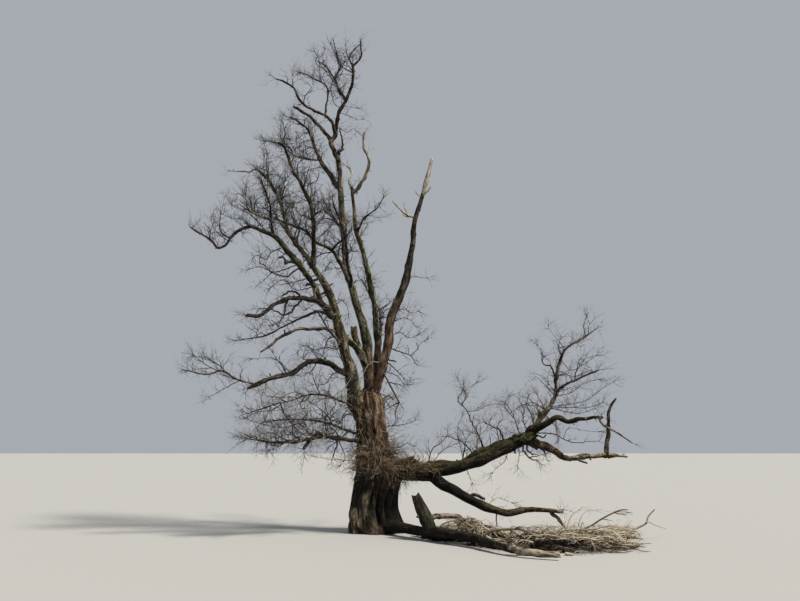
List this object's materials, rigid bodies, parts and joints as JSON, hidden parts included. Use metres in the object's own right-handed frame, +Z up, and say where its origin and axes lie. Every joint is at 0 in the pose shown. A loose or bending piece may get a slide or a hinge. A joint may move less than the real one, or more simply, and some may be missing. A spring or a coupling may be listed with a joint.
{
  "type": "dead tree",
  "caption": "Tall dead field tree with a fluted trunk, upright leaders, a low limb reaching sideways, and a fallen limb with brash at its foot.",
  "frame": {"origin": "middle of the flat cut under the trunk, at ground level", "axes": "+Z up, +X to the right and +Y away from a viewer who faces the side that the picture shows"},
  "size_m": [16.1142, 10.8815, 18.2096],
  "materials": {
    "bark": "rough furrowed bark",
    "mossy_bark": "rough bark with moss and lichen",
    "bare_wood": "weathered barkless wood",
    "brash": "open tangle of bleached twigs",
    "twigs": "thin dark twigs"
  },
  "bodies": {
    "root": {"trunk": "bark", "left_leader": "bark", "middle_leader": "mossy_bark", "back_leader": "mossy_bark", "right_leader": "bark", "upper_leader": "bark", "crown_tip_right": "bark", "crown_tip_left": "bark", "crown_back_branch": "bark", "crown_spray": "bark", "crown_left_bough": "bark", "crown_inner_branch": "bark", "broken_spar": "bare_wood", "high_left_bough": "bark", "high_left_branch": "bark", "long_left_bough": "mossy_bark", "long_left_hook": "bark", "fanned_left_bough": "mossy_bark", "bleached_left_spar": "bare_wood", "inner_left_bough": "mossy_bark", "rising_left_branch": "bark", "outer_left_branch": "bare_wood", "crossing_bough": "mossy_bark", "crossing_branch": "bark", "back_leader_hook": "bare_wood", "back_leader_spar": "bare_wood", "back_leader_branch": "bark", "right_leader_stub": "bare_wood", "rear_low_bough": "bark", "rear_high_bough": "bark", "front_high_bough": "bark", "knobbly_bough": "bark", "twiggy_bough": "bark", "dead_left_bough": "bare_wood", "arching_bough": "bark", "arching_bough_tip": "bark", "forward_bough": "bark", "flat_low_bough": "bark", "drooping_low_bough": "bark", "rear_left_low_bough": "bark", "rear_right_low_bough": "bark", "hanging_right_branch": "mossy_bark", "low_right_limb": "mossy_bark", "low_right_ridge": "mossy_bark", "upswept_bough": "bark", "upswept_tip": "bark", "upswept_side_branch": "bare_wood", "forward_right_bough": "bark", "weeping_tip": "bare_wood", "rear_right_bough": "bare_wood", "upright_snag": "bare_wood", "drooping_broken_limb": "mossy_bark", "drooping_broken_end": "bark", "fallen_limb": "bare_wood", "torn_slab": "bare_wood", "fallen_branch": "bare_wood", "brash_behind_limb": "brash", "brash_heap": "brash", "brash_right_end": "brash"}
  },
  "joints": []
}
